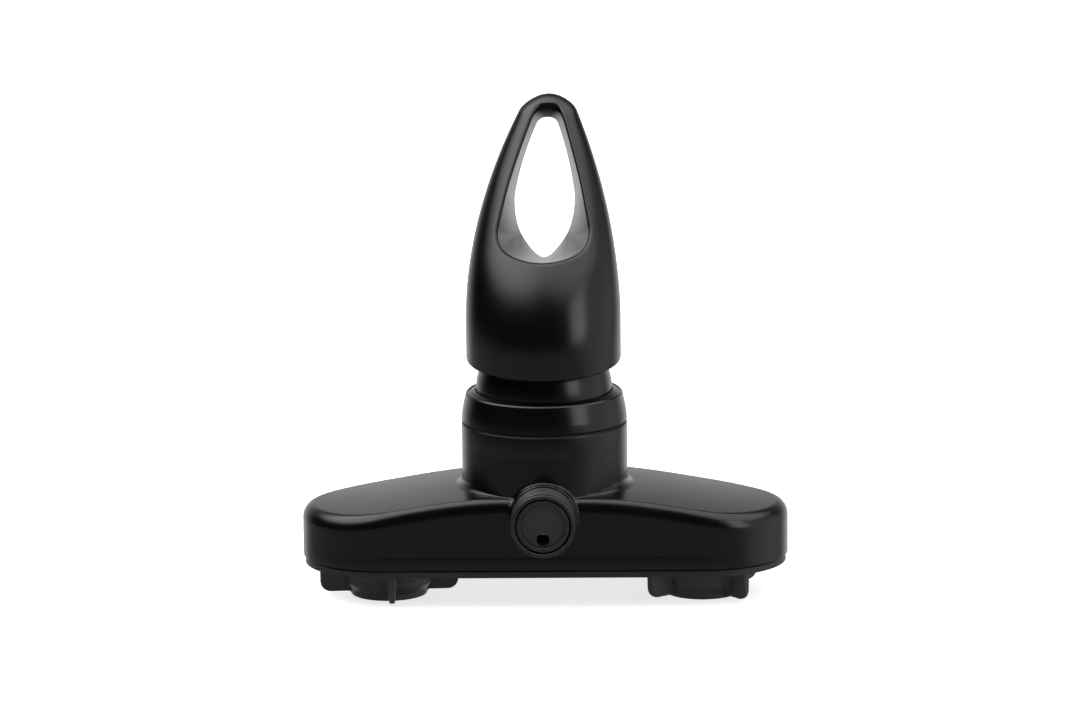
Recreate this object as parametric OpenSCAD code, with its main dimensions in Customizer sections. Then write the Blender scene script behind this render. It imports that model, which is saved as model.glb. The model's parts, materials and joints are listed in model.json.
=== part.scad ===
// Single-lever centre-set mixer valve with a threaded hose outlet.
// Origin: centre of the base plate's underside. +Z up, -Y towards the outlet.

/* [Body] */
// Overall width of the bridge body
body_w = 156.9; // [154:0.1:160]
// Depth of the bridge body, front to back
body_d = 53.6; // [53.5:0.1:54]
// Wall thickness of the body shell
wall = 2.5; // [2.4:0.1:2.6]
// Height of the arms at their ends
arm_end_z = 19.4; // [19.2:0.1:19.8]
// Height of the arms where they meet the column
arm_mid_z = 26.4; // [26:0.1:26.8]
// How far the rounding of the arms' top edge reaches in
arm_edge_in = 3; // [2.5:0.5:4]
// How far that rounding reaches down
arm_edge_down = 4.5; // [4:0.5:5]
// How much lower the arms are at their front and back edges
arm_camber = 1.2; // [0.8:0.1:1.4]
// Radius of the column
column_r = 26.7; // [26.6:0.05:26.7]
// Height of the seam between the column and its collar
seam_z = 45.8; // [45.6:0.1:46]

/* [Base] */
// Thickness of the base plate
plate_t = 2; // [1.8:0.1:2.2]
// How far the base plate's edge is set in from the body
plate_inset = 0.7; // [0.5:0.1:1]
// Distance between the two supply shanks
centres = 101.6; // [101.6:0.1:101.6]
// Outer radius of the supply shanks
shank_r = 10.4; // [10.3:0.05:10.4]
// Radius of the supply shanks' bore
shank_bore_r = 6.35; // [6:0.05:6.4]

/* [Wing nuts] */
// Depth of the nuts below the deck plane
nut_depth = 10.9; // [10.7:0.1:11.2]
// Radius over the wings
wing_r = 22.4; // [21:0.1:23]
// Radius of the nuts' hub
hub_r = 12.4; // [12.2:0.1:12.6]
// Radius of the flange at the top of the nuts
flange_r = 14.4; // [14:0.1:14.9]
// Thickness of a wing
wing_t = 2.6; // [2:0.1:3]
// Angle of the first wing on the hot nut
hot_wing_angle = -85; // [-180:0.1:180]
// Angle of the first wing on the cold nut
cold_wing_angle = -51; // [-180:0.1:180]

/* [Outlet] */
// Height of the outlet's axis
outlet_z = 20; // [19.8:0.1:20.2]
// Radius over the outlet's thread
outlet_r = 10.48; // [10.4:0.02:10.5]
// How far the outlet stands out from the axis of the column
outlet_reach = 40; // [39:0.5:41]
// Radius of the boss around the outlet
boss_r = 10.9; // [10.8:0.1:11.2]

/* [Lever] */
// Height of the lever's pivot
pivot_z = 56; // [56:0.1:56]
// Forward tilt of the lever when closed
rest_tilt = 7; // [6:0.5:8]
// Height of the handle's tip above the pivot, along the handle
tip_h = 88.2; // [87:0.1:89]
// How far the handle's tip stands to one side
tip_set = 1.9; // [0:0.1:2]
// Radius of the handle's skirt
skirt_r = 24.9; // [24.6:0.1:25]

/* [Hidden] */
$fn = 48;

fit = 0.05;                       // radial clearance of a running fit
gasket_t = 0.4;                   // thickness of the gasket in the column's seam
end_r = body_d / 2;               // radius of the body's round ends
end_x = body_w / 2 - end_r;       // centres of the round ends
shell_z = plate_t + 0.4;          // lower edge of the body shell
column_bore_r = column_r - wall;  // inside of the column
side_x = centres / 2;             // shank positions
cup_floor_z = 22;                 // floor of the cup that holds the cartridge
cup_bore_r = 17.75;               // bore of that cup
cup_top_z = seam_z + 0.2;         // its top edge
disc_offset = 1.2;                // the moving disc's place when the valve is closed
boss_reach = outlet_reach - 11.5; // how far the outlet's boss stands out
neck_r = 10.3;                    // plain neck of the outlet, behind its thread
collar_top = 55.9;                // top of the collar's shoulder
cone_top = 57.4;                  // top of the cone between the shoulder and the dome
cone_r = 22.15;                   // bore of that cone
lip_z = 53.5;                     // underside of the lip that holds the dome down
dome_r = 22;                      // outside of the dome
dome_rim_r = 23.7;                // rim around the dome's foot
dome_rim_z = 51.5;                // underside of that rim

base_screw_at = [[71, 0], [-71, 0], [24, 19.5], [-24, 19.5], [24, -19.5], [-24, -19.5]];
manifold_screw_at = [[36, 12], [-36, 12], [36, -12], [-36, -12]];
port_at = [[6.5, 2], [-6.5, 2], [0, -6]];

black = "#1b1b1c";
soft_black = "#262627";
white = "#e4e2dc";
steel = "#b9babc";
brass = "#b08d4a";
rubber = "#0e0e0e";

// Height of the arms' ridge at a distance x from the middle: level, an S, and level again.
function ridge(x) = let (t = min(max((abs(x) - 12) / 66, 0), 1))
    arm_end_z + (arm_mid_z - arm_end_z) * (1 + cos(180 * t)) / 2;

// Height of the arms' top, which falls away a little to the front and back of the ridge.
function crown(x, y) = ridge(x) - arm_camber * pow(y / end_r, 2);

// The stadium outline of the body, set in by d: 4 * n points round the ends, 22 along the sides.
function stadium(d, n) = let (
    r = end_r - d,
    arc = [for (i = [0:4 * n - 1])
        let (a = 90 * (i + 0.5) / n)
        [sign(cos(a)) * end_x + r * cos(a), r * sin(a)]],
    xs = [for (i = [1:11]) end_x * (1 - i / 6)],
    y = r * cos(45 / n))
    concat([for (i = [0:n - 1]) arc[i]], [for (x = xs) [x, y]], [for (i = [n:3 * n - 1]) arc[i]],
        [for (x = xs) [-x, -y]], [for (i = [3 * n:4 * n - 1]) arc[i]]);

// Handle outline: half width, front and back at a height h above the pivot, in the handle's frame.
function half_width(h) = (skirt_r - pow(max(h - 24, 0), 2) / 228) * closing((h - tip_h + 4.8) / 4.8);
function front_y(h) = h < 46.4 ? -skirt_r + 15 * pow(max(h - 16, 0) / 30.4, 2) : h - 56.3;
function closing(t) = sqrt(max(1 - pow(max(t, 0), 2), 0));
function back_y(h) = h < 20 ? skirt_r : skirt_r + 16 * pow((h - 20) / 60, 1.3);
function half_depth(h) = (back_y(h) - front_y(h)) / 2 * closing((h - tip_h + 6) / 6);
function mid_y(h) = (back_y(h) + front_y(h)) / 2;
function lean(h) = tip_set * pow(max(h - 30, 0) / (tip_h - 30), 2);

// A closed skin over rings of equal length, bottom ring first.
module skin(rings) {
    n = len(rings[0]);
    last = len(rings) - 1;
    points = [for (ring = rings) each ring];
    sides = [for (k = [0:last - 1], i = [0:n - 1])
        let (a = k * n + i, b = k * n + (i + 1) % n)
        each [[a, b + n, b], [a, a + n, b + n]]];
    floor_face = [for (i = [0:n - 1]) i];
    half = n / 2;
    // The roof is made of strips between points that share a height.
    roof = [for (i = [0:half - 2])
        let (a = last * n + i, b = last * n + n - 1 - i, c = b - 1, d = a + 1)
        each [[a, c, d], [a, b, c]]];
    polyhedron(points = points, faces = concat([floor_face], sides, roof));
}

module slab(d, z0, z1) {
    translate([0, 0, z0])
    linear_extrude(z1 - z0)
    union() {
        square([2 * end_x, 2 * (end_r - d)], center = true);
        for (s = [-1, 1])
            translate([s * end_x, 0])
            circle(end_r - d);
    }
}

module ring(r_out, r_in, z0, z1) {
    translate([0, 0, z0])
    difference() {
        cylinder(r = r_out, h = z1 - z0);
        translate([0, 0, -1])
        cylinder(r = r_in, h = z1 - z0 + 2);
    }
}

module rod(r, z0, z1) {
    translate([0, 0, z0])
    cylinder(r = r, h = z1 - z0);
}

module o_ring(r, wire, z) {
    translate([0, 0, z])
    rotate_extrude()
    translate([r, 0])
    circle(wire);
}

// Puts a shape drawn up the Z axis on the outlet's axis, Z pointing out of the outlet.
module on_outlet() {
    translate([0, 0, outlet_z])
    rotate([90, 0, 0])
    children();
}

// Puts a shape drawn above the pivot into the closed lever's tilt.
module in_handle() {
    translate([0, 0, pivot_z])
    rotate([rest_tilt, 0, 0])
    children();
}

module at_points(points) {
    for (p = points)
        translate([p[0], p[1], 0])
        children();
}

// ---- Body ----

module arms_solid() {
    n = 12;
    steps = 5;
    skirt = [for (p = stadium(0, n)) [p[0], p[1], shell_z]];
    edge = [for (k = [0:steps])
        let (a = 90 * k / steps, d = arm_edge_in * (1 - cos(a)), drop = arm_edge_down * (1 - sin(a)))
        [for (p = stadium(d, n)) [p[0], p[1], crown(p[0], p[1]) - drop]]];
    top = [for (d = [9, 15, 21])
        [for (p = stadium(d, n)) [p[0], p[1], crown(p[0], p[1])]]];
    skin(concat([skirt], edge, top));
}

module arms_cavity() {
    xs = [for (i = [0:20]) -78 + 156 * i / 20];
    intersection() {
        slab(wall, shell_z - 1, 40);
        rotate([90, 0, 0])
        linear_extrude(body_d, center = true)
        polygon(concat([[-78, 0]], [for (x = xs) [x, ridge(x) - wall]], [[78, 0]]));
        cavity_roof();
    }
}

// Keeps the cavity clear of the rounded top edge.
module cavity_roof() {
    union() {
        slab(wall, shell_z - 1, arm_end_z - arm_edge_down - arm_camber);
        slab(wall + 2.2, shell_z - 1, 40);
    }
}

module body_shell() {
    color(black)
    union() {
        difference() {
            union() {
                arms_solid();
                rod(column_r, 12, seam_z);
                on_outlet() rod(boss_r, 20, boss_reach);
            }
            difference() {
                arms_cavity();
                // Bosses for the screws stand down from the roof.
                at_points(base_screw_at) rod(3.4, shell_z + 2, 30);
                at_points(manifold_screw_at) rod(3.4, 10, 30);
            }
            rod(column_bore_r, shell_z - 1, seam_z + 1);
            on_outlet() rod(neck_r + 0.12, 18, 45);
            at_points(base_screw_at) rod(1.55, shell_z, 13);
            at_points(manifold_screw_at) rod(1.55, shell_z, 17);
        }
    }
}

module seam_gasket() {
    color(rubber) ring(column_r - 0.5, column_bore_r, seam_z, seam_z + gasket_t);
}

module collar_ring() {
    low = seam_z + gasket_t;
    seat_r = dome_rim_r + 0.25;
    color(black)
    rotate_extrude()
    difference() {
        union() {
            polygon([[cone_r, low], [column_r - 0.6, low], [column_r, low + 0.6], [column_r - 0.2, 49.5],
                [column_r - 0.7, 52.2], [column_r - 1.35, 55.2], [column_r - 1.9, collar_top],
                [column_r - 2.6, collar_top],
                [cone_r + 0.2, cone_top], [cone_r, cone_top]]);
            translate([cone_r, 41]) square([dome_rim_r - cone_r, low - 41 + 0.1]);
        }
        translate([0, low + 0.4]) square([seat_r, lip_z - low - 0.4]);
        translate([0, 40]) square([dome_rim_r - 1.2, low - 39]);
    }
}

// The dome's rim sits under the collar's lip, so the dome can't lift.
module dome_cap() {
    thick = 1.6;
    foot_z = cup_top_z + 0.1;
    color(black)
    difference() {
        union() {
            translate([0, 0, pivot_z]) sphere(dome_r);
            rod(dome_r + 0.05, foot_z, pivot_z - 1);
            rod(dome_rim_r, dome_rim_z, lip_z - 0.1);
        }
        rod(60, 0, foot_z);
        translate([0, 0, pivot_z]) sphere(dome_r - thick);
        rod(dome_r - thick, 30, pivot_z);
        rod(12.5, pivot_z, 90);
    }
}

// ---- Base and supplies ----

module base_plate() {
    color(soft_black)
    difference() {
        union() {
            slab(plate_inset, 0, plate_t);
            slab(1.6, plate_t - 0.1, shell_z);
        }
        for (s = [-1, 1])
            translate([s * side_x, 0, -1])
            cylinder(r = shank_r + 0.2, h = 10);
        at_points(base_screw_at) rod(1.6, -1, 5);
        at_points(base_screw_at) rod(3.1, -1, 1.4);
    }
}

module base_screws() {
    color(steel)
    at_points(base_screw_at)
    difference() {
        union() {
            rod(3, 0.1, 1.4);
            rod(1.5, 1.3, 12);
        }
        cross_slot(2.2, 0.6, 0.9);
    }
}

module cross_slot(r, w, z) {
    for (a = [0, 90])
        rotate([0, 0, a])
        translate([-r, -w / 2, z - 5])
        cube([2 * r, w, 5]);
}

module manifold_screws() {
    color(steel)
    at_points(manifold_screw_at)
    difference() {
        union() {
            rod(2.8, 5.6, 7.5);
            rod(1.5, 7.4, 16);
        }
        cross_slot(2, 0.6, 6.4);
    }
}

module shank(s) {
    color(soft_black)
    translate([s * side_x, 0, 0])
    difference() {
        union() {
            rod(shank_r, 0.6 - nut_depth, shell_z + 0.1);
            rod(13.5, shell_z, 5);
            rod(8.5, 4.9, 14);
        }
        rod(shank_bore_r, -20, 20);
        ring(9, 7.4, 9.2, 10.8);
    }
}

module hot_shank() { shank(-1); }

module cold_shank() { shank(1); }

module shank_orings() {
    color(rubber)
    for (s = [-1, 1])
        translate([s * side_x, 0, 0])
        o_ring(8.0, 0.58, 10);
}

module wing_outline() {
    low = 0.9 - nut_depth;
    high = -0.6;
    r = 3.5;
    root = hub_r - 1;
    intersection() {
        hull() {
            translate([root, low]) square([wing_r - root - r, high - low]);
            translate([wing_r - r, low + r]) circle(r);
            translate([wing_r - 0.1, high - 1]) square([0.1, 1]);
        }
        translate([root, low]) square([wing_r - root, high - low]);
    }
}

module wing_nut(s, angle) {
    color(soft_black)
    translate([s * side_x, 0, 0])
    difference() {
        union() {
            rotate_extrude()
            polygon([[0, -nut_depth], [hub_r - 0.5, -nut_depth], [hub_r, 0.5 - nut_depth], [hub_r, -8.7],
                [flange_r, -6.4], [flange_r, -4.2], [flange_r + 0.4, -4], [flange_r + 0.4, -0.3], [0, -0.3]]);
            for (a = [0:90:270])
                rotate([90, 0, angle + a])
                linear_extrude(wing_t, center = true)
                wing_outline();
        }
        rod(shank_r + fit, -20, 5);
    }
}

module hot_wing_nut() { wing_nut(-1, hot_wing_angle); }

module cold_wing_nut() { wing_nut(1, cold_wing_angle); }

module manifold() {
    tube_z = 12.9;
    color(white)
    difference() {
        union() {
            rod(20.5, 5, 30);
            rod(22.3, 30, cup_top_z);
            translate([-side_x, 0, tube_z])
            rotate([0, 90, 0])
            cylinder(r = 6, h = centres);
            for (s = [-1, 1])
                translate([s * side_x, 0, 0])
                rod(12, 5, 17.3);
            on_outlet() rod(9, 0, 21.8);
            for (p = manifold_screw_at)
                translate([p[0] - 4.5, min(p[1], 0), 7.5])
                translate([0, p[1] > 0 ? 0 : -4, 0])
                cube([9, 16, 2.5]);
        }
        rod(cup_bore_r, cup_floor_z, 60);
        for (s = [-1, 1]) {
            translate([s * side_x, 0, 0])
            rod(8.6, 4, 14.1);
            translate([s * 5, 0, tube_z])
            rotate([0, s * 90, 0])
            cylinder(r = 3.5, h = side_x - 6);
            translate([s * side_x, 0, 0])
            rod(6, 13, 16);
        }
        at_points(port_at) rod(2.6, 13, cup_floor_z + 1);
        translate([0, -3.4, 15.5])
        rotate([90, 0, 0])
        cylinder(r = 2.4, h = 17);
        on_outlet() rod(7.6, 19.6, 30);
        at_points(manifold_screw_at) rod(1.6, 5, 12);
    }
}

// ---- Outlet ----

module outlet_nipple() {
    color(black)
    on_outlet()
    difference() {
        union() {
            rod(neck_r, 22.4, boss_reach + 0.5);
            rod(outlet_r, boss_reach + 0.5, outlet_reach - 2);
            translate([0, 0, outlet_reach - 2])
            cylinder(r1 = outlet_r, r2 = 10.1, h = 2);
            rod(7.5, 19.8, 23);
        }
        rod(5.4, 10, 31);
        rod(4, 10, 40);
        rod(8.85, 31, 50);
    }
}

module outlet_seal() {
    color(rubber)
    on_outlet() ring(8.9, 7.6, 21.8, 22.4);
}

module outlet_insert() {
    face = outlet_reach - 0.4;
    color(black)
    on_outlet()
    difference() {
        union() {
            rod(8.8, 31, face - 3);
            rod(8.45, face - 3, face);
        }
        rod(7.05, face - 3.1, 50);
        rod(6, 20, 50);
    }
}

module flow_disc() {
    face = outlet_reach - 1.4;
    color(soft_black)
    on_outlet()
    difference() {
        union() {
            rod(7, outlet_reach - 3.5, face);
            rod(2.6, 34.3, face - 1);
        }
        translate([0, -4.5, 0])
        rod(2.1, 30, 50);
        rod(1.25, 30, face - 1);
    }
}

module check_poppet() {
    color(soft_black)
    on_outlet()
    union() {
        rod(5.5, 31.05, 31.8);
        rod(1.2, 31.5, 35.2);
    }
}

// A coil of round wire along the outlet's axis, from the poppet to the disc.
module check_spring() {
    turns = 4;
    sides = 8;
    steps = 14 * turns;
    mean_r = 3.2;
    wire = 0.3;
    from = 31.85 + wire;
    to = outlet_reach - 3.55 - wire;
    rings = [for (k = [0:steps])
        let (a = 360 * turns * k / steps, z = from + (to - from) * k / steps)
        [for (i = [0:sides - 1])
            let (b = 360 * i / sides, r = mean_r + wire * cos(b))
            [r * cos(a), r * sin(a), z + wire * sin(b)]]];
    points = [for (ring = rings) each ring];
    last = steps * sides;
    color(steel)
    on_outlet()
    polyhedron(points = points, faces = concat(
        [[for (i = [0:sides - 1]) i]],
        [for (k = [0:steps - 1], i = [0:sides - 1])
            let (a = k * sides + i, b = k * sides + (i + 1) % sides)
            each [[a, b + sides, b], [a, a + sides, b + sides]]],
        [[for (i = [sides - 1:-1:0]) last + i]]));
}

// ---- Cartridge ----

module cartridge_base() {
    color(white)
    difference() {
        rod(17.6, cup_floor_z + 0.3, 26);
        at_points(port_at) rod(2.6, 20, 30);
        at_points(port_at) ring(3.9, 2.9, 20, cup_floor_z + 1.1);
    }
}

module cartridge_base_seals() {
    color(rubber)
    at_points(port_at) ring(3.85, 2.95, cup_floor_z, cup_floor_z + 1.05);
}

module fixed_disc() {
    color(white)
    difference() {
        rod(14, 26, 29);
        at_points(port_at) rod(2.4, 20, 30);
    }
}

module moving_disc() {
    color("#cfd2d6")
    difference() {
        translate([0, disc_offset, 0]) rod(11, 29, 32);
        translate([0, disc_offset + 3, 0]) rod(4, 28, 31);
    }
}

module disc_coupler() {
    color("#8c9aa8")
    translate([0, disc_offset, 0])
    difference() {
        union() {
            rod(10.5, 32, 35.5);
            translate([-5.5, -5.5, 35]) cube([11, 11, 13]);
        }
        translate([-3.1, -3.1, 41]) cube([6.2, 6.2, 10]);
    }
}

module cartridge_housing() {
    color("#d8d6d0")
    difference() {
        rod(17.6, 26, 43);
        rod(15.7, 25, 40.5);
        rod(11.8 + fit, 30, 50);
    }
}

module cartridge_nut() {
    color(brass)
    difference() {
        union() {
            rod(17.7, 43, 46);
            translate([0, 0, 46]) cylinder(r = 19.2, h = 4, $fn = 6);
        }
        rod(12.6, 40, 60);
    }
}

module lever_carrier() {
    color("#3a3d40")
    difference() {
        union() {
            rod(15, 37, 40.3);
            rod(11.8, 40, 60);
        }
        translate([-6, -9.6, 30]) cube([12, 19.2, 19]);
        translate([-4.15, -20, 48.9]) cube([8.3, 40, 20]);
        translate([-20, 0, pivot_z])
        rotate([0, 90, 0])
        cylinder(r = 1.5, h = 40);
    }
}

module pivot_pin() {
    color(steel)
    translate([-11, 0, pivot_z])
    rotate([0, 90, 0])
    cylinder(r = 1.5, h = 22);
}

// ---- Lever ----

module lever_stem() {
    color(steel)
    in_handle()
    difference() {
        union() {
            translate([-4, -4, -3.6]) cube([8, 8, 33.6]);
            rod(2.1, -10, -3);
            translate([0, 0, -10]) sphere(2.9);
        }
        translate([-20, 0, 0])
        rotate([0, 90, 0])
        cylinder(r = 1.5 + fit, h = 40);
    }
}

module handle_adapter() {
    color(brass)
    in_handle()
    difference() {
        rod(8, 21.7, 32);
        translate([-4.05, -4.05, 10]) cube([8.1, 8.1, 20.1]);
        translate([0, 0, 26])
        rotate([-90, 0, 0])
        cylinder(r = 2, h = 20);
    }
}

module handle_set_screw() {
    color(steel)
    in_handle()
    translate([0, 0, 26])
    rotate([-90, 0, 0])
    difference() {
        rod(1.95, 4.1, 10.5);
        rod(1, 8.5, 12);
    }
}

module screw_plug() {
    color(black)
    in_handle()
    translate([0, 0, 26])
    rotate([-90, 0, 0])
    rod(3.45, 21.5, skirt_r + 0.4);
}

// Half widths of the window's front and back outlines at a distance s up from its lower edge.
function front_half(s) = soft_min(19.8 - 0.2745 * s, 7 * sqrt(s + 0.001), 8);
function back_half(s) = soft_min(9.9 + 0.09 * s - 0.0057 * s * s, (sqrt(0.08 + 0.51 * s) - 0.27) / 0.254, 16);
function soft_min(a, b, p) = pow(pow(a, -p) + pow(b, -p), -1 / p);

// A thin slice of the window: an outline of the given height on a plane that leans back from
// the point (y, h) at the given angle, its middle set over with the handle.
module window_slice(y, h, angle, height, halves) {
    n = len(halves) - 1;
    side = [for (i = [1:n]) height * pow(i / n, 2)];
    middle = [for (s = side) lean(h + s * sin(angle))];
    translate([0, y, h])
    rotate([angle, 0, 0])
    linear_extrude(0.1)
    polygon(concat([[0, 0]], [for (i = [0:n - 1]) [middle[i] + halves[i + 1], side[i]]],
        [for (i = [n - 1:-1:0]) [middle[i] - halves[i + 1], side[i]]]));
}

module window_cutter() {
    n = 14;
    front_height = 58.5;
    back_height = 45.1;
    hull() {
        window_slice(-10.26, 46.04, 45, front_height,
            [for (i = [0:n]) front_half(front_height * pow(i / n, 2))]);
        window_slice(28.9, 35.4, 73.6, back_height,
            [for (i = [0:n]) back_half(back_height * pow(i / n, 2))]);
    }
}

module handle_solid() {
    sides = 48;
    skirt = [for (k = [0:6]) 17 + 5 * k];
    loop = [for (k = [0:5]) 52 + 5.5 * k];
    tip = [for (k = [1:6]) tip_h - 9.3 + 9.3 * sin(14.6 * k)];
    skin([for (h = concat([11, 12], skirt, loop, tip))
        let (bevel = h < 12 ? 0.5 : 0, w = half_width(h) - bevel, d = half_depth(h) - bevel)
        [for (i = [0:sides - 1])
            let (a = 360 * (i + 0.5) / sides)
            [lean(h) + w * cos(a), mid_y(h) + d * sin(a), h]]]);
}

module handle_shell() {
    color(black)
    in_handle()
    difference() {
        handle_solid();
        difference() {
            rod(22.6, 5, 24);
            rod(11, 20.5, 30);
        }
        rod(8, 10, 32);
        translate([0, 0, 26])
        rotate([-90, 0, 0])
        rod(2.3, 5, 40);
        translate([0, 0, 26])
        rotate([-90, 0, 0])
        rod(3.5, 21.5, 40);
        window_cutter();
    }
}

body_shell();
base_plate();
base_screws();
manifold();
manifold_screws();
hot_shank();
cold_shank();
shank_orings();
hot_wing_nut();
cold_wing_nut();
outlet_nipple();
outlet_seal();
outlet_insert();
flow_disc();
check_poppet();
check_spring();
cartridge_base();
cartridge_base_seals();
fixed_disc();
moving_disc();
disc_coupler();
cartridge_housing();
cartridge_nut();
lever_carrier();
pivot_pin();
lever_stem();
collar_ring();
seam_gasket();
dome_cap();
handle_adapter();
handle_shell();
handle_set_screw();
screw_plug();
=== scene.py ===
import json
import math

import bpy
import numpy as np
from mathutils import Matrix, Vector


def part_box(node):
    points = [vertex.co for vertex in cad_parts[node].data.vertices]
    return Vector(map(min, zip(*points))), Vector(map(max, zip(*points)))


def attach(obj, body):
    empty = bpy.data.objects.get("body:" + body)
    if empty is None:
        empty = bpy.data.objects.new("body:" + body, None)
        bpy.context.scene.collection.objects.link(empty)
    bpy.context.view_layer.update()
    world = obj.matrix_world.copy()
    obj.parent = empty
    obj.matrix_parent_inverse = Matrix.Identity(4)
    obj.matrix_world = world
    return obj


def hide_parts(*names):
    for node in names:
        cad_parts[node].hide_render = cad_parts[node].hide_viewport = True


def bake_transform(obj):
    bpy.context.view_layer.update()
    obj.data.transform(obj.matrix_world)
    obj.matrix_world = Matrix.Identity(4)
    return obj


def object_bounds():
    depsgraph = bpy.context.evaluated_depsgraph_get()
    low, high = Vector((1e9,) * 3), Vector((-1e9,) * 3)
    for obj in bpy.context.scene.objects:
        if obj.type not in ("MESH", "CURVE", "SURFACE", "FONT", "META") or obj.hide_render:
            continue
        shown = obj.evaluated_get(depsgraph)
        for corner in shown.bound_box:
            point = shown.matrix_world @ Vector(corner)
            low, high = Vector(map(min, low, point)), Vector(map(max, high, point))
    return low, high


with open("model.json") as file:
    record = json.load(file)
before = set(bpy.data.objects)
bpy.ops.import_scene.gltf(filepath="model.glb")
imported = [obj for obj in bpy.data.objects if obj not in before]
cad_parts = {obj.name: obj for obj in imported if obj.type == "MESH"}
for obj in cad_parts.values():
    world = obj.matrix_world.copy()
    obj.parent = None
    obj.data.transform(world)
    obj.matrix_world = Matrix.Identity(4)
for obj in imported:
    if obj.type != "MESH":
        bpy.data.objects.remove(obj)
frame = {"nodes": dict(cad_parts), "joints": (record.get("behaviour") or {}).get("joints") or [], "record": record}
CAD_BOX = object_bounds()
MM = 0.001
JOINTS = {joint["name"]: joint for joint in frame["joints"]}
MOUNTS = {mount["name"]: mount for mount in frame["record"]["mounts"]}


def mm_box(node):
    """A CAD node's lowest and highest corners, in millimetres."""
    low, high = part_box(node)
    return np.array(low) / MM, np.array(high) / MM


# ---------------------------------------------------------------- sizes, mm

SHELL_LOW, SHELL_HIGH = mm_box("body_shell")
COLLAR_LOW, COLLAR_HIGH = mm_box("collar_ring")
DOME_LOW, DOME_HIGH = mm_box("dome_cap")
NIPPLE_LOW, NIPPLE_HIGH = mm_box("outlet_nipple")
INSERT_LOW, INSERT_HIGH = mm_box("outlet_insert")
NUT_LOW, NUT_HIGH = mm_box("hot_wing_nut")
PLUG_LOW, PLUG_HIGH = mm_box("screw_plug")
GASKET_LOW, GASKET_HIGH = mm_box("seam_gasket")

END_R = SHELL_HIGH[1]                       # radius of the bridge's round ends
END_X = SHELL_HIGH[0] - END_R               # their centres
SHELL_Z = SHELL_LOW[2]
SEAM_Z = SHELL_HIGH[2]
WALL = 2.5
ARM_END_Z = 19.4
ARM_MID_Z = 26.4
ARM_EDGE_DOWN = 4.5
ARM_CAMBER = 0.8                            # how much lower the arms are at their front and back
COLUMN_R = COLLAR_HIGH[0]
OUTLET_Z = MOUNTS["outlet"]["pos_m"][2] / MM
OUTLET_R = MOUNTS["outlet"]["dims"]["r_mm"]
THREAD_PITCH = 1.814                        # fourteen threads to the inch
BOSS_R = 10.9
NECK_R = 10.25                              # the plain neck behind the thread
NECK_END = 28.7                             # where the thread starts, out from the column's axis
THREAD_DEPTH = 0.62
LIP_R = OUTLET_R - 0.75                     # the groove between the thread and the lip
PIVOT = np.array(JOINTS["handle_tilt"]["pos_m"]) / MM
REST_TILT = math.radians(7)
SKIRT_R = 24.9
SKIRT_BORE_R = 22.6
TIP_H = 88.1
TIP_SET = 1.95                              # how far the tip stands to one side
VIEW_RISE = math.radians(11.8)              # how far the usual view looks down


# ---------------------------------------------------------------- shape rules

def length(*parts):
    return np.sqrt(sum(part * part for part in parts))


def round_and(a, b, r):
    """Where both fields are inside, with the meeting edge rounded to radius r."""
    corner = length(np.maximum(a + r, 0), np.maximum(b + r, 0))
    return np.minimum(np.maximum(a, b), -r) + corner


def round_or(a, b, r):
    """Where either field is inside, with the meeting corner filled to radius r."""
    return -round_and(-a, -b, r)


def oval_and(a, b, ra, rb):
    """As round_and, with an edge that is rounded over ra across the first face and rb across the other."""
    across, down = np.maximum(a + ra, 0), np.maximum(b + rb, 0)
    reach = length(across / ra, down / rb)
    corner = reach * (reach - 1) / np.maximum(length(across / ra ** 2, down / rb ** 2), 1e-6)
    return np.where((across > 0) & (down > 0), corner, np.maximum(a, b))


def smoothstep(t):
    t = np.clip(t, 0, 1)
    return t * t * (3 - 2 * t)


def half_plane(u, v, point, slope):
    """Signed distance right of a line through point whose u grows by slope for each v."""
    return (u - point[0] - slope * (v - point[1])) / math.hypot(1, slope)


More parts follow.
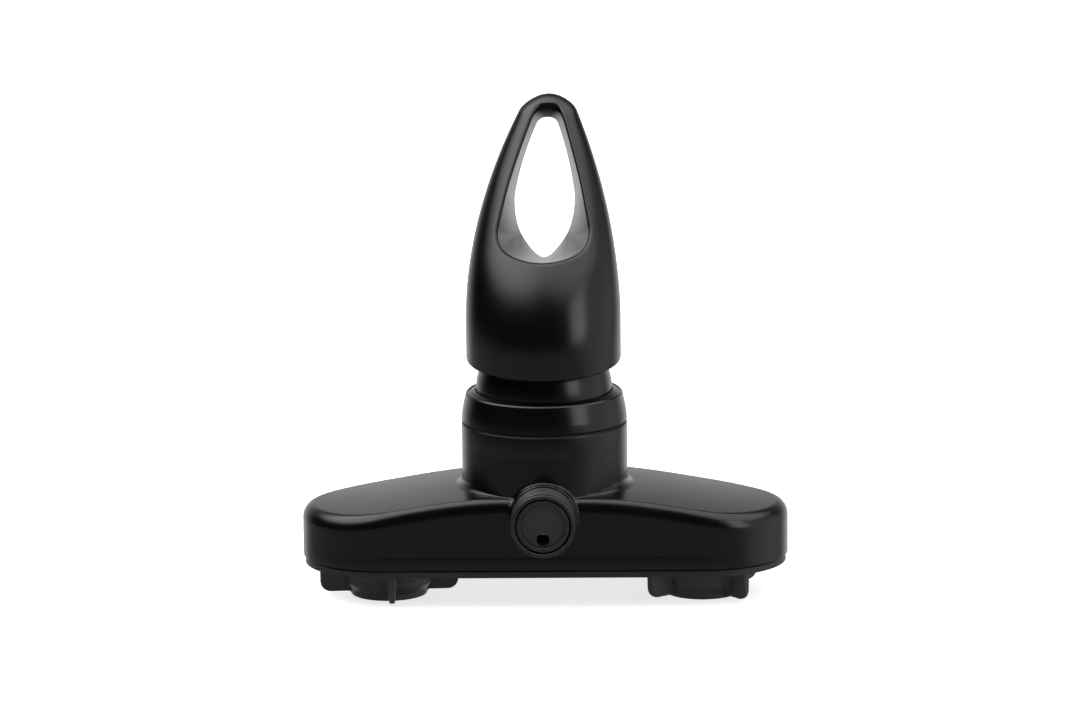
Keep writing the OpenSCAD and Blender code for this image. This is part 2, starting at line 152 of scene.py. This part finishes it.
def surface(field, low, high, step):
    """Vertices and quads on the zero of field(x, y, z): a surface net, pulled onto the true surface."""
    axes = [np.arange(low[i] - 1.5 * step, high[i] + 2.5 * step, step) for i in range(3)]
    grid = np.meshgrid(*axes, indexing="ij")
    values = field(*grid)
    shape = np.array(values.shape) - 1
    inside = values < 0
    corners = [(i, j, k) for i in (0, 1) for j in (0, 1) for k in (0, 1)]

    def corner(array, c):
        return array[c[0]:c[0] + shape[0], c[1]:c[1] + shape[1], c[2]:c[2] + shape[2]]

    count = sum(corner(inside, c).astype(np.int8) for c in corners)
    active = (count > 0) & (count < 8)
    cells = np.argwhere(active)
    total = np.zeros((len(cells), 3))
    crossings = np.zeros(len(cells))
    for a in corners:
        for axis in range(3):
            if a[axis]:
                continue
            b = tuple(1 if i == axis else a[i] for i in range(3))
            va = corner(values, a)[active]
            vb = corner(values, b)[active]
            cut = (va < 0) != (vb < 0)
            t = np.where(cut, va / np.where(cut, va - vb, 1), 0)
            at = np.array(a, float) + t[:, None] * (np.array(b) - np.array(a))
            total += at * cut[:, None]
            crossings += cut
    points = (cells + total / crossings[:, None]) * step + np.array([axis[0] for axis in axes])
    index = -np.ones(active.shape, int)
    index[active] = np.arange(len(cells))
    quads = []
    for axis in range(3):
        u, v = (axis + 1) % 3, (axis + 2) % 3
        here = np.moveaxis(inside, (axis, u, v), (0, 1, 2))
        number = np.moveaxis(index, (axis, u, v), (0, 1, 2))
        crossing = here[:-1, 1:-1, 1:-1] != here[1:, 1:-1, 1:-1]
        at = np.argwhere(crossing)
        i, j, k = at[:, 0], at[:, 1], at[:, 2]
        quad = np.stack([number[i, j, k], number[i, j + 1, k], number[i, j + 1, k + 1],
                         number[i, j, k + 1]], 1)
        flip = ~here[:-1, 1:-1, 1:-1][crossing]
        quad[flip] = quad[flip][:, ::-1]
        quads.append(quad)
    limit = 0.7 * step
    start = points.copy()
    for _ in range(4):
        slope = gradient(field, points)
        move = -(field(*points.T) / np.maximum((slope * slope).sum(1), 1e-9))[:, None] * slope
        size = np.linalg.norm(move, axis=1, keepdims=True)
        points = points + move * np.minimum(1, 0.4 * step / np.maximum(size, 1e-9))
        drift = points - start
        size = np.linalg.norm(drift, axis=1, keepdims=True)
        points = start + drift * np.minimum(1, limit / np.maximum(size, 1e-9))
    normals = gradient(field, points)
    normals /= np.maximum(np.linalg.norm(normals, axis=1, keepdims=True), 1e-9)
    return points, np.concatenate(quads), normals


def gradient(field, points):
    e = 0.01
    x, y, z = points.T
    return np.stack([field(x + e, y, z) - field(x - e, y, z),
                     field(x, y + e, z) - field(x, y - e, z),
                     field(x, y, z + e) - field(x, y, z - e)], 1) / (2 * e)


def mesh_piece(name, points, faces, normals=None, place=None):
    """A Blender object from points in millimetres; place is a 4 x 4 matrix in millimetres."""
    points = np.asarray(points, float)
    if place is not None:
        points = points @ place[:3, :3].T + place[:3, 3]
        if normals is not None:
            normals = normals @ place[:3, :3].T
    mesh = bpy.data.meshes.new(name)
    mesh.from_pydata((points * MM).tolist(), [], [tuple(int(i) for i in face) for face in faces])
    mesh.update()
    mesh.shade_smooth()
    if normals is not None:
        mesh.normals_split_custom_set_from_vertices(normals.tolist())
    piece = bpy.data.objects.new(name, mesh)
    bpy.context.scene.collection.objects.link(piece)
    return piece


def rounded(corners, steps=6):
    """A closed outline of (r, z) points, each given corner (r, z, radius) turned into an arc."""
    outline = []
    n = len(corners)
    for i in range(n):
        p = np.array(corners[i][:2], float)
        radius = corners[i][2]
        a = np.array(corners[i - 1][:2], float) - p
        b = np.array(corners[(i + 1) % n][:2], float) - p
        la, lb = np.linalg.norm(a), np.linalg.norm(b)
        a, b = a / la, b / lb
        turn = math.acos(max(-1, min(1, float(a @ b))))
        if radius <= 0 or turn > math.pi - 0.02:
            outline.append(p)
            continue
        back = min(radius / math.tan(turn / 2), 0.49 * la, 0.49 * lb)
        radius = back * math.tan(turn / 2)
        middle = p + (a + b) / np.linalg.norm(a + b) * radius / math.sin(turn / 2)
        first = p + a * back - middle
        last = p + b * back - middle
        sweep = math.pi - turn
        for k in range(steps + 1):
            t = k / steps
            outline.append(middle + (math.sin((1 - t) * sweep) * first + math.sin(t * sweep) * last)
                           / math.sin(sweep))
    return np.array(outline)


def ring_faces(m, n):
    """Quads between m rings of n points each, the last ring joined to the first."""
    return [(k * n + i, k * n + (i + 1) % n, (k + 1) % m * n + (i + 1) % n, (k + 1) % m * n + i)
            for k in range(m) for i in range(n)]


def lathe(name, corners, sides=160, place=None, sharp=35):
    """Turns a closed outline of (r, z, radius) corners about the Z axis."""
    outline = rounded(corners)
    n = len(outline)
    angles = 2 * math.pi * np.arange(sides) / sides
    points = np.array([[r * math.cos(a), r * math.sin(a), z] for a in angles for r, z in outline])
    faces = ring_faces(sides, n)
    area = sum(outline[i - 1][0] * outline[i][1] - outline[i][0] * outline[i - 1][1] for i in range(n))
    if area < 0:
        faces = [face[::-1] for face in faces]
    piece = mesh_piece(name, points, faces, place=place)
    piece.data.set_sharp_from_angle(angle=math.radians(sharp))
    return piece


def turned(axis, angle):
    return np.array(Matrix.Rotation(angle, 4, axis))


def moved(x, y, z):
    return np.array(Matrix.Translation(Vector((x, y, z))))


OUT_OF_OUTLET = moved(0, 0, OUTLET_Z) @ turned("X", math.pi / 2)
IN_HANDLE = moved(*PIVOT) @ turned("X", REST_TILT)


# ---------------------------------------------------------------- materials

def material(name, color, roughness, grain=0.0, grain_mm=0.3, mottle=0.15, metallic=0.0, edge_highlight=0.0,
             swirl=False):
    """A procedural finish: moulded or sprayed grain as bump, slow changes of colour and gloss, and a painted
    highlight of lighter colour on convex edges.
    """
    made = bpy.data.materials.new(name)
    made.use_nodes = True
    nodes, links = made.node_tree.nodes, made.node_tree.links
    shader = nodes["Principled BSDF"]
    shader.inputs["Metallic"].default_value = metallic
    place = nodes.new("ShaderNodeTexCoord")
    slow = nodes.new("ShaderNodeTexNoise")
    slow.inputs["Scale"].default_value = 90
    slow.inputs["Detail"].default_value = 4
    links.new(place.outputs["Object"], slow.inputs["Vector"])
    tone = nodes.new("ShaderNodeMix")
    tone.data_type = "RGBA"
    tone.inputs[6].default_value = (*[c * (1 - mottle) for c in color], 1)
    tone.inputs[7].default_value = (*[c * (1 + mottle) for c in color], 1)
    links.new(slow.outputs["Fac"], tone.inputs[0])
    color_out = tone.outputs[2]
    # Painted highlight: convex edges, found by pointiness, are mixed towards a lighter colour.
    if edge_highlight:
        edge = nodes.new("ShaderNodeNewGeometry")
        ramp = nodes.new("ShaderNodeMapRange")
        ramp.inputs["From Min"].default_value = 0.53
        ramp.inputs["From Max"].default_value = 0.62
        ramp.inputs["To Max"].default_value = edge_highlight
        links.new(edge.outputs["Pointiness"], ramp.inputs["Value"])
        edge_highlighted = nodes.new("ShaderNodeMix")
        edge_highlighted.data_type = "RGBA"
        edge_highlighted.inputs[7].default_value = (*[min(1, c * 2.2 + 0.01) for c in color], 1)
        links.new(ramp.outputs["Result"], edge_highlighted.inputs[0])
        links.new(color_out, edge_highlighted.inputs[6])
        color_out = edge_highlighted.outputs[2]
    links.new(color_out, shader.inputs["Base Color"])
    gloss = nodes.new("ShaderNodeMapRange")
    gloss.inputs["To Min"].default_value = roughness - 0.03
    gloss.inputs["To Max"].default_value = roughness + 0.03
    links.new(slow.outputs["Fac"], gloss.inputs["Value"])
    links.new(gloss.outputs["Result"], shader.inputs["Roughness"])
    if grain:
        fine = nodes.new("ShaderNodeTexNoise")
        fine.inputs["Scale"].default_value = 1 / (grain_mm * MM)
        fine.inputs["Detail"].default_value = 3
        source = place.outputs["Object"]
        if swirl:
            stretch = nodes.new("ShaderNodeMapping")
            stretch.inputs["Scale"].default_value = (0.15, 0.15, 3)
            links.new(source, stretch.inputs["Vector"])
            source = stretch.outputs["Vector"]
        links.new(source, fine.inputs["Vector"])
        bump = nodes.new("ShaderNodeBump")
        bump.inputs["Strength"].default_value = grain
        bump.inputs["Distance"].default_value = 0.02 * MM
        links.new(fine.outputs["Fac"], bump.inputs["Height"])
        links.new(bump.outputs["Normal"], shader.inputs["Normal"])
    return made


BLACK = (0.0012, 0.0012, 0.0012)
MATERIALS = {
    "satin_black": material("satin_black", BLACK, 0.25, grain=0.25, grain_mm=0.35, edge_highlight=0.12),
    "handle_black": material("handle_black", BLACK, 0.25, grain=0.25, grain_mm=0.35, edge_highlight=0.12),
    "dome_black": material("dome_black", BLACK, 0.25, grain=0.2, grain_mm=0.4),
    "deck_black": material("deck_black", (0.01, 0.01, 0.01), 0.42, grain=0.5, grain_mm=0.5),
    "nut_black": material("nut_black", (0.02, 0.02, 0.02), 0.42, grain=0.6, grain_mm=0.45, edge_highlight=0.2),
    # outlet_black is also given to the check poppet deep in the outlet, so that the hole shows dark: painted shade
    # there. On the outlet sleeve it is the part's own black.
    "outlet_black": material("outlet_black", (0.009, 0.009, 0.009), 0.4, grain=0.6, grain_mm=0.3, edge_highlight=0.2),
    "white_acetal": material("white_acetal", (0.72, 0.71, 0.68), 0.42, grain=0.3, mottle=0.03),
    "grey_acetal": material("grey_acetal", (0.2, 0.22, 0.25), 0.4, grain=0.3, mottle=0.05),
    "ceramic": material("ceramic", (0.82, 0.82, 0.8), 0.12, grain=0.05, mottle=0.02),
    "seal_rubber": material("seal_rubber", (0.012, 0.012, 0.012), 0.62, grain=0.6, grain_mm=0.2),
    "screw_steel": material("screw_steel", (0.6, 0.6, 0.61), 0.28, grain=0.3, metallic=1, swirl=True),
    "spring_steel": material("spring_steel", (0.62, 0.62, 0.63), 0.24, grain=0.2, metallic=1, swirl=True),
    "zinc_stem": material("zinc_stem", (0.55, 0.56, 0.57), 0.42, grain=0.6, metallic=1),
    "brass": material("brass", (0.7, 0.52, 0.27), 0.3, grain=0.4, metallic=1, swirl=True),
}
SLOT_OF = {part["node"]: part["material_slot"] for part in frame["record"]["subparts"]}


def finish_as(piece, node):
    """Gives a piece the finish of the CAD node that it stands for, and lets it ride with it."""
    slot = SLOT_OF[node]
    piece.data.materials.clear()
    piece.data.materials.append(MATERIALS[slot])
    body = next(b for b, nodes in frame["record"]["behaviour"]["bodies"].items() if node in nodes)
    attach(piece, body)
    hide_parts(node)
    return piece


# ---------------------------------------------------------------- bridge body

def ridge(x):
    """Height of the arms' ridge: level by the column, an S, and level again at the ends."""
    t = np.clip((np.abs(x) - 12) / 66, 0, 1)
    return ARM_END_Z + (ARM_MID_Z - ARM_END_Z) * (1 + np.cos(math.pi * t)) / 2


RIM_TOP = 7.0                               # the shell's lower rim is a band of its own up to here
RING_FOOT = 38.5                            # and the column's upper rim a ring of its own from here
TUCK = 0.01                                 # how far the rest of the shell lies inside them


def shell_field(x, y, z):
    plan = length(np.maximum(np.abs(x) - END_X, 0), y) - END_R
    plan = plan + TUCK * smoothstep((RIM_TOP + 2 - z) / 3)
    over = (z - ridge(x) + ARM_CAMBER * (y / END_R) ** 2) / 1.01
    arms = oval_and(plan, over, 2.3 + 1.7 * smoothstep((np.abs(x) - 42) / 28), ARM_EDGE_DOWN)
    around = length(x, y) - COLUMN_R + TUCK * smoothstep((z - RING_FOOT + 3) / 3)
    column = np.maximum(around, 12 - z)
    fade = 1 - smoothstep((np.abs(y) - 12) / 13)
    outside = round_or(arms, column, 0.25 + 2.2 * fade)
    spout = round_and(length(x, z - OUTLET_Z) - BOSS_R, SHELL_LOW[1] - y, 0.4)
    outside = round_or(outside, np.maximum(spout, y), 0.7)
    outside = np.maximum(outside, np.maximum(SHELL_Z + 2 - z, z - SEAM_Z + 2))
    hollow = round_and(plan + WALL, over + WALL, 3)
    hollow = np.minimum(hollow, around + WALL)
    hollow = np.minimum(hollow, np.maximum(length(x, z - OUTLET_Z) - 9.6, y + 15))
    return round_and(outside, -hollow, 0.3)


def stadium(inset, steps=40):
    """The bridge's outline seen from above, set in by a distance: (x, y) points."""
    r = END_R - inset
    angles = np.linspace(-math.pi / 2, math.pi / 2, steps)
    right = np.stack([END_X + r * np.cos(angles), r * np.sin(angles)], 1)
    return np.concatenate([right, -right])


def joined(name, pieces):
    """One object out of several."""
    with bpy.context.temp_override(active_object=pieces[0], selected_editable_objects=pieces):
        bpy.ops.object.join()
    pieces[0].name = name
    return pieces[0]


rim = rounded([(0, RIM_TOP, 0.1), (0, SHELL_Z, 0.3), (WALL, SHELL_Z, 0.3), (WALL, RIM_TOP, 0.1)])
rings = [np.insert(stadium(inset), 2, z, axis=1) for inset, z in rim]
faces = [face[::-1] for face in ring_faces(len(rings), len(rings[0]))]
lower_rim = mesh_piece("lower_rim", np.concatenate(rings), faces)
lower_rim.data.set_sharp_from_angle(angle=math.radians(35))
upper_rim = lathe("upper_rim", [
    (COLUMN_R, RING_FOOT, 0.1), (COLUMN_R, SEAM_Z, 0.35), (COLUMN_R - WALL, SEAM_Z, 0.2),
    (COLUMN_R - WALL, RING_FOOT, 0.1)])
points, faces, normals = surface(shell_field, SHELL_LOW, SHELL_HIGH, 0.72)
body = mesh_piece("body", points, faces, normals)
finish_as(joined("bridge_body", [body, lower_rim, upper_rim]), "body_shell")


# ---------------------------------------------------------------- collar, seam and dome

CONE_R = 22.15                              # where the collar's cone meets the dome
low = GASKET_HIGH[2]
top = COLLAR_HIGH[2]
collar = lathe("trim_collar", [
    (COLUMN_R - 0.62, low, 0.1), (COLUMN_R, low + 0.62, 0.2), (COLUMN_R - 0.22, 49.5, 6),
    (COLUMN_R - 0.72, 52.2, 8), (COLUMN_R - 1.4, 55.3, 0.45), (COLUMN_R - 1.95, 55.86, 0.3),
    (COLUMN_R - 2.6, 55.5, 0.2), (CONE_R + 0.5, top - 1.1, 0.2), (CONE_R, top - 1.1, 0.1),
    (CONE_R, 53.5, 0.2), (23.95, 53.5, 0.1), (23.95, low + 0.4, 0.1),
    (22.5, low + 0.4, 0.1), (22.5, COLLAR_LOW[2], 0.2), (23.7, COLLAR_LOW[2], 0.2), (23.7, low, 0.1)])
finish_as(collar, "collar_ring")

gasket = lathe("seam_seal", [
    (GASKET_HIGH[0], GASKET_LOW[2], 0.12), (GASKET_HIGH[0], GASKET_HIGH[2], 0.12),
    (COLUMN_R - WALL, GASKET_HIGH[2], 0.1), (COLUMN_R - WALL, GASKET_LOW[2], 0.1)])
finish_as(gasket, "seam_gasket")


def dome_outline(r, thick, foot_z):
    """The dome's section: a ball with an open top, on a straight foot with a flange."""
    hole = 12.5
    waist = PIVOT[2] - 1
    first = math.asin(hole / r)
    arc = [(r * math.sin(a), PIVOT[2] + r * math.cos(a), 0) for a in np.linspace(first, math.pi / 2, 48)]
    arc[0] = (arc[0][0], arc[0][1], 0.3)
    inner = r - thick
    first = math.asin(hole / inner)
    lining = [(inner * math.sin(a), PIVOT[2] + inner * math.cos(a), 0)
              for a in np.linspace(math.pi / 2, first, 24)]
    foot = [(r, waist, 0), (r, 53.4, 0.1), (23.7, 53.4, 0.2), (23.7, 51.5, 0.2),
            (r, 51.5, 0.1), (r, foot_z, 0.3), (inner, foot_z, 0.2)]
    return arc + foot + lining


finish_as(lathe("dome_bonnet", dome_outline(22, 1.6, DOME_LOW[2]), sharp=30), "dome_cap")


# ---------------------------------------------------------------- outlet

def threaded_outlet():
    """The outlet tube: a real thread on the outside, a plain rounded lip, and a stepped bore."""
    sides = 240
    base, reach = -NIPPLE_HIGH[1], -NIPPLE_LOW[1]
    run = np.arange(NECK_END, reach - 2.6, THREAD_PITCH / 12)
    rest = rounded([
        (LIP_R, run[-1], 0), (LIP_R, reach - 2.2, 0.25), (OUTLET_R - 0.1, reach - 1.9, 0.2),
        (OUTLET_R - 0.18, reach, 0.75), (8.95, reach, 0.3), (8.9, reach - 6, 0.1),
        (5.4, reach - 6, 0.1), (5.4, base, 0.2), (7.5, base, 0.3), (7.5, 22.4, 0.2),
        (NECK_R, 22.4, 0.2), (NECK_R, run[0], 0)])[1:]
    points, n = [], len(run) + len(rest)
    for s in range(sides):
        phase = 2 * math.pi * (run / THREAD_PITCH - s / sides)
        fade = smoothstep((run - run[0]) / 1.2) * smoothstep((run[-1] - run) / 0.9)
        wave = 0.5 - 0.5 * np.tanh(2.2 * np.cos(phase)) / math.tanh(2.2)
        crest = OUTLET_R - 0.08 - THREAD_DEPTH * wave
        radius = crest * fade + np.where(run < run.mean(), NECK_R, LIP_R) * (1 - fade)
        points.extend(zip(radius, run))
        points.extend((r, z) for r, z in rest)
    points = np.array(points)
    angles = np.repeat(2 * math.pi * np.arange(sides) / sides, n)
    points = np.stack([points[:, 0] * np.cos(angles), points[:, 0] * np.sin(angles), points[:, 1]], 1)
    faces = ring_faces(sides, n)
    piece = mesh_piece("threaded_outlet", points, [face[::-1] for face in faces], place=OUT_OF_OUTLET)
    piece.data.set_sharp_from_angle(angle=math.radians(50))
    return piece


finish_as(threaded_outlet(), "outlet_nipple")

face = -INSERT_LOW[1]
finish_as(lathe("outlet_sleeve", [
    (8.8, 31, 0.1), (8.8, face - 3, 0.1), (8.45, face - 3, 0), (8.45, face, 0.3), (7.05, face, 0.3),
    (7.05, face - 3.1, 0.05), (6, face - 3.1, 0.1), (6, 31, 0.1)], place=OUT_OF_OUTLET), "outlet_insert")


# ---------------------------------------------------------------- check valve's spring

def coil(name, r, wire, near, far, turns):
    """A wire coil along the outlet, with both its end turns closed."""
    sides, steps = 10, 32 * turns
    t = np.linspace(0, turns, steps + 1)
    pitched = (far - near - 4 * wire) / (turns - 2)
    along = near + wire + np.minimum(t, 1) * wire + np.clip(t - 1, 0, turns - 2) * pitched
    along += np.maximum(t - turns + 1, 0) * wire
    angles = 2 * math.pi * t
    rings = []
    for k in range(sides):
        around = 2 * math.pi * k / sides
        radius = r + wire * math.cos(around)
        rings.append(np.stack([radius * np.cos(angles), radius * np.sin(angles),
                               along + wire * math.sin(around)], 1))
    points = np.stack(rings, 1).reshape(-1, 3)
    faces = ring_faces(steps + 1, sides)[:-sides]
    ends = [tuple(range(sides))[::-1], tuple(steps * sides + k for k in range(sides))]
    return mesh_piece(name, points, [face[::-1] for face in faces + ends], place=OUT_OF_OUTLET)


SPRING_LOW, SPRING_HIGH = mm_box("check_spring")
WIRE_R = 0.3
SPARE = 0.01                                # keeps the coil just inside its CAD node's box
near, far = -SPRING_HIGH[1] + SPARE, -SPRING_LOW[1] - SPARE
spring = coil("poppet_spring", SPRING_HIGH[0] - WIRE_R - SPARE, WIRE_R, near, far, 6)
spring.data.materials.append(MATERIALS["spring_steel"])
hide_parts("check_spring")
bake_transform(spring)


# ---------------------------------------------------------------- wing nuts

HUB_R = 12.4
FLANGE_R = 14.4
WING_R = 22.4


def nut_field(x, y, z, first_wing):
    r = length(x, y)
    hub_low = NUT_LOW[2] + 0.01
    flare = HUB_R + (FLANGE_R - HUB_R) * np.clip((z + 8.7) / 2.3, 0, 1)
    cone = round_and((r - flare) * 0.78, -8.9 - z, 0.1)
    hub = round_and(r - HUB_R, hub_low - z, 0.5)
    hub = round_or(hub, np.maximum(cone, z + 6.2), 0.25)
    hub = np.minimum(hub, round_and(r - FLANGE_R, -6.45 - z, 0.25))
    hub = np.minimum(hub, round_and(r - FLANGE_R - 0.4, -4.15 - z, 0.2))
    hub = round_and(hub, z + 0.31, 0.3)
    wings = None
    for k in range(4):
        a = first_wing + k * math.pi / 2
        along = x * math.cos(a) + y * math.sin(a)
        across = -x * math.sin(a) + y * math.cos(a)
        thick = 0.95 + 0.34 * np.clip((z - hub_low - 1) / 9, 0, 1)
        blade = round_and(along - WING_R, hub_low + 0.92 - z, 3.4)
        blade = round_and(blade, z + 0.62, 0.6)
        blade = round_and(blade, np.abs(across) - thick, 0.6)
        blade = np.maximum(blade, 11.4 - along)
        wings = blade if wings is None else np.minimum(wings, blade)
    solid = round_or(hub, wings, 0.8)
    return round_and(solid, 10.46 - r, 0.4)


SIDE_X = abs(MOUNTS["hot_supply"]["pos_m"][0]) / MM
for name, node, side, first_wing in (("left_wing_nut", "hot_wing_nut", -1, -85),
                                     ("right_wing_nut", "cold_wing_nut", 1, -51)):
    def field(x, y, z, angle=math.radians(first_wing)):
        return nut_field(x, y, z, angle)
    points, faces, normals = surface(
        field, (-WING_R, -WING_R, NUT_LOW[2]), (WING_R, WING_R, NUT_HIGH[2]), 0.4)
    finish_as(mesh_piece(name, points, faces, normals, place=moved(side * SIDE_X, 0, 0)), node)


# ---------------------------------------------------------------- loop lever

def closing(t):
    return np.sqrt(np.maximum(1 - np.maximum(t, 0) ** 2, 1e-6))


def lean(h):
    """How far the loop's middle stands to one side."""
    return TIP_SET * (np.maximum(h - 30, 0) / (TIP_H - 30)) ** 2


def half_width(h):
    return (SKIRT_R - np.maximum(h - 24, 0) ** 2 / 228) * closing((h - TIP_H + 4.8) / 4.8)


def front_y(h):
    curved = -SKIRT_R + 15 * (np.maximum(h - 16, 0) / 30.4) ** 2
    return np.where(h < 46.4, curved, h - 56.3)


def back_y(h):
    return SKIRT_R + 16 * (np.maximum(h - 20, 0) / 60) ** 1.3


def lever_outside(x, y, h):
    x = x - lean(h)
    inside_h = np.minimum(h, TIP_H - 0.002)
    wide = half_width(inside_h)
    deep = (back_y(inside_h) - front_y(inside_h)) / 2 * closing((inside_h - TIP_H + 6) / 6)
    middle = (back_y(inside_h) + front_y(inside_h)) / 2
    return (length(x / wide, (y - middle) / deep) - 1) * np.minimum(wide, deep) + np.maximum(h - TIP_H, 0)


def distance(raw, x, y, z):
    """Turns a field with the right zero into one that is near a true distance there."""
    e = 0.05
    f = raw(x, y, z)
    slope = length(raw(x + e, y, z) - f, raw(x, y + e, z) - f, raw(x, y, z + e) - f) / e
    return f / np.clip(slope, 0.3, 3)


def window_front(u, v):
    """The loop's front opening as the usual view sees it: a tall trapezoid with a round foot."""
    side = half_plane(np.abs(u), v, (15.5, 54.5), -0.306)
    foot = (40.3 + u * u / 55 - v) / np.sqrt(1 + (2 * u / 55) ** 2)
    return round_and(round_and(side, foot, 7), v - 92.8, 2.2)


def window_back(u, v):
    """The loop's back opening as the usual view sees it: a drop with a pointed foot."""
    away = np.sqrt(u * u + 0.4)
    above = np.maximum(v - 58.5, -8)
    side = (away - 9.8 + 0.08 * above + 0.0057 * above ** 2) / np.sqrt(1 + (0.08 + 0.0114 * above) ** 2)
    foot = (42.8 + 0.273 * away + 0.127 * away ** 2 - v) / np.sqrt(1 + (0.273 + 0.254 * away) ** 2)
    return round_and(round_and(side, foot, 2.5), v - 87.9, 1.6)


def window_field(x, y, h):
    x = x - lean(h)
    v = (2.94 * h + y) / 3.105
    depth = (y - front_y(h)) / np.maximum(back_y(h) - front_y(h), 4)
    t = np.clip(depth, -0.2, 1.2)
    return window_front(x, v) * (1 - t) + window_back(x, v) * t


def lever_field(x, y, h):
    outside = distance(lever_outside, x, y, h)
    outside = round_and(outside, 11 - h, 0.5)
    bore = np.maximum(length(x, y) - SKIRT_BORE_R, h - 24)
    boss = np.maximum(length(x, y) - 11, 20.5 - h)
    bore = np.maximum(bore, -boss)
    solid = round_and(outside, -bore, 0.25)
    solid = np.maximum(solid, -np.maximum(length(x, y) - 8.02, h - 32))
    seat = np.maximum(length(x, h - 26) - 3.5, 21.5 - y)
    passage = np.maximum(length(x, h - 26) - 2.3, 5 - y)
    solid = round_and(solid, -seat, 0.25)
    solid = np.maximum(solid, -passage)
    return round_and(solid, -window_field(x, y, h), 1.3)


points, faces, normals = surface(lever_field, (-25.2, -25.2, 11), (25.2, 44, TIP_H), 0.6)
finish_as(mesh_piece("loop_lever", points, faces, normals, place=IN_HANDLE), "handle_shell")


# ---------------------------------------------------------------- CAD nodes that stay

REPLACED = {"body_shell", "collar_ring", "seam_gasket", "dome_cap", "outlet_nipple", "outlet_insert",
            "hot_wing_nut", "cold_wing_nut", "handle_shell", "check_spring"}
# Among these, the check poppet takes outlet_black, a painted shade that keeps the outlet's hole dark.
for node, piece in frame["nodes"].items():
    if node not in REPLACED:
        piece.data.materials.clear()
        piece.data.materials.append(MATERIALS[SLOT_OF[node]])


# ---------------------------------------------------------------- stage

def floor_material(name, color, roughness):
    """A plain matte surface that is lifted a little, so that it stays pale."""
    made = bpy.data.materials.new(name)
    made.use_nodes = True
    shader = made.node_tree.nodes["Principled BSDF"]
    shader.inputs["Base Color"].default_value = (*color, 1)
    shader.inputs["Roughness"].default_value = roughness
    shader.inputs["Emission Color"].default_value = (1, 1, 1, 1)
    shader.inputs["Emission Strength"].default_value = 0.75
    return made


FLOOR_Z = CAD_BOX[0][2]
FLOOR_HALF = 6.0                            # metres from its middle to its sides
floor_corners = [(x * FLOOR_HALF, y * FLOOR_HALF, FLOOR_Z) for x, y in ((-1, -1), (1, -1), (1, 1), (-1, 1))]
floor_mesh = bpy.data.meshes.new("floor")
floor_mesh.from_pydata(floor_corners, [], [(0, 1, 2, 3)])
floor = bpy.data.objects.new("floor", floor_mesh)
bpy.context.scene.collection.objects.link(floor)
floor.data.materials.append(floor_material("pale_floor", (0.9, 0.9, 0.9), 0.9))
floor.visible_glossy = False


def area_light(name, at, size, power, color=(1, 1, 1), aim=(0, 0, 0.06)):
    data = bpy.data.lights.new(name, "AREA")
    data.shape = "RECTANGLE"
    data.size, data.size_y = size
    data.energy = power
    data.color = color
    lamp = bpy.data.objects.new(name, data)
    lamp.location = at
    lamp.rotation_euler = (Vector(aim) - Vector(at)).to_track_quat("-Z", "Y").to_euler()
    bpy.context.scene.collection.objects.link(lamp)
    return lamp


area_light("right_softbox", (0.945, -0.74, 0.42), (0.46, 0.8), 2.8, (1, 0.96, 0.9))

world = bpy.data.worlds.new("studio")
bpy.context.scene.world = world
world.use_nodes = True
nodes, links = world.node_tree.nodes, world.node_tree.links
place = nodes.new("ShaderNodeTexCoord")
split = nodes.new("ShaderNodeSeparateXYZ")
links.new(place.outputs["Generated"], split.inputs["Vector"])


def ramp(source, low, high, to_low, to_high):
    """A smooth step of the source from one value to another."""
    made = nodes.new("ShaderNodeMapRange")
    made.interpolation_type = "SMOOTHSTEP"
    for key, value in (("From Min", low), ("From Max", high), ("To Min", to_low), ("To Max", to_high)):
        made.inputs[key].default_value = value
    links.new(source, made.inputs["Value"])
    return made.outputs["Result"]


def combine(kind, a, b):
    """A Math node over two sockets or numbers."""
    made = nodes.new("ShaderNodeMath")
    made.operation = kind
    for slot, value in enumerate((a, b)):
        if isinstance(value, (int, float)):
            made.inputs[slot].default_value = value
        else:
            links.new(value, made.inputs[slot])
    return made.outputs[0]


# Light by direction: a backdrop behind, a wall to the right, the table below and a softbox above.
x, y, z = (split.outputs[axis] for axis in "XYZ")
backdrop = combine("MULTIPLY", ramp(y, 0.45, 1.0, 0, 1), ramp(z, -0.05, 0.2, 1.1, 0.7))
backdrop_rise = combine("ADD", z, ramp(x, -0.12, 0.12, -0.07, 0.05))
backdrop = combine("MULTIPLY", backdrop, ramp(backdrop_rise, 0.1, 0.6, 1, 0.15))
right_wall = ramp(x, 0.7, 0.95, 0, 0.65)
table = combine("MULTIPLY", ramp(z, -0.27, -0.04, 0.29, 0), ramp(z, -0.75, -0.45, 0.1, 1.0))
height = combine("ADD", z, combine("MULTIPLY", combine("ABSOLUTE", x, 0), 0.28))
softbox = combine("MULTIPLY", ramp(height, 0.66, 0.92, 0, 3.4), ramp(x, -0.5, 0.35, 1, 0.55))
softbox = combine("MULTIPLY", softbox, ramp(y, 0.35, 0.8, 1, 0.1))
sky = combine("MAXIMUM", combine("MAXIMUM", backdrop, right_wall), combine("MAXIMUM", softbox, table))
nodes["Background"].inputs["Color"].default_value = (1, 1, 1, 1)
links.new(sky, nodes["Background"].inputs["Strength"])

VIEW_TARGET = Vector((-0.00121, 0, 0.06575))
VIEW_TURN = math.radians(1.2)
VIEW_ROLL = math.radians(-0.57)
VIEW_DISTANCE_M = 1.93
camera_data = bpy.data.cameras.new("camera")
camera_data.lens = 200
camera_data.sensor_width = 36
camera = bpy.data.objects.new("camera", camera_data)
away = Vector((math.sin(VIEW_TURN) * math.cos(VIEW_RISE), -math.cos(VIEW_TURN) * math.cos(VIEW_RISE),
               math.sin(VIEW_RISE)))
look = (-away).to_track_quat("-Z", "Y").to_matrix().to_4x4() @ Matrix.Rotation(VIEW_ROLL, 4, "Z")
camera.matrix_world = Matrix.Translation(VIEW_TARGET + away * VIEW_DISTANCE_M) @ look
bpy.context.scene.collection.objects.link(camera)
bpy.context.scene.camera = camera
bpy.context.scene.view_settings.view_transform = "Standard"
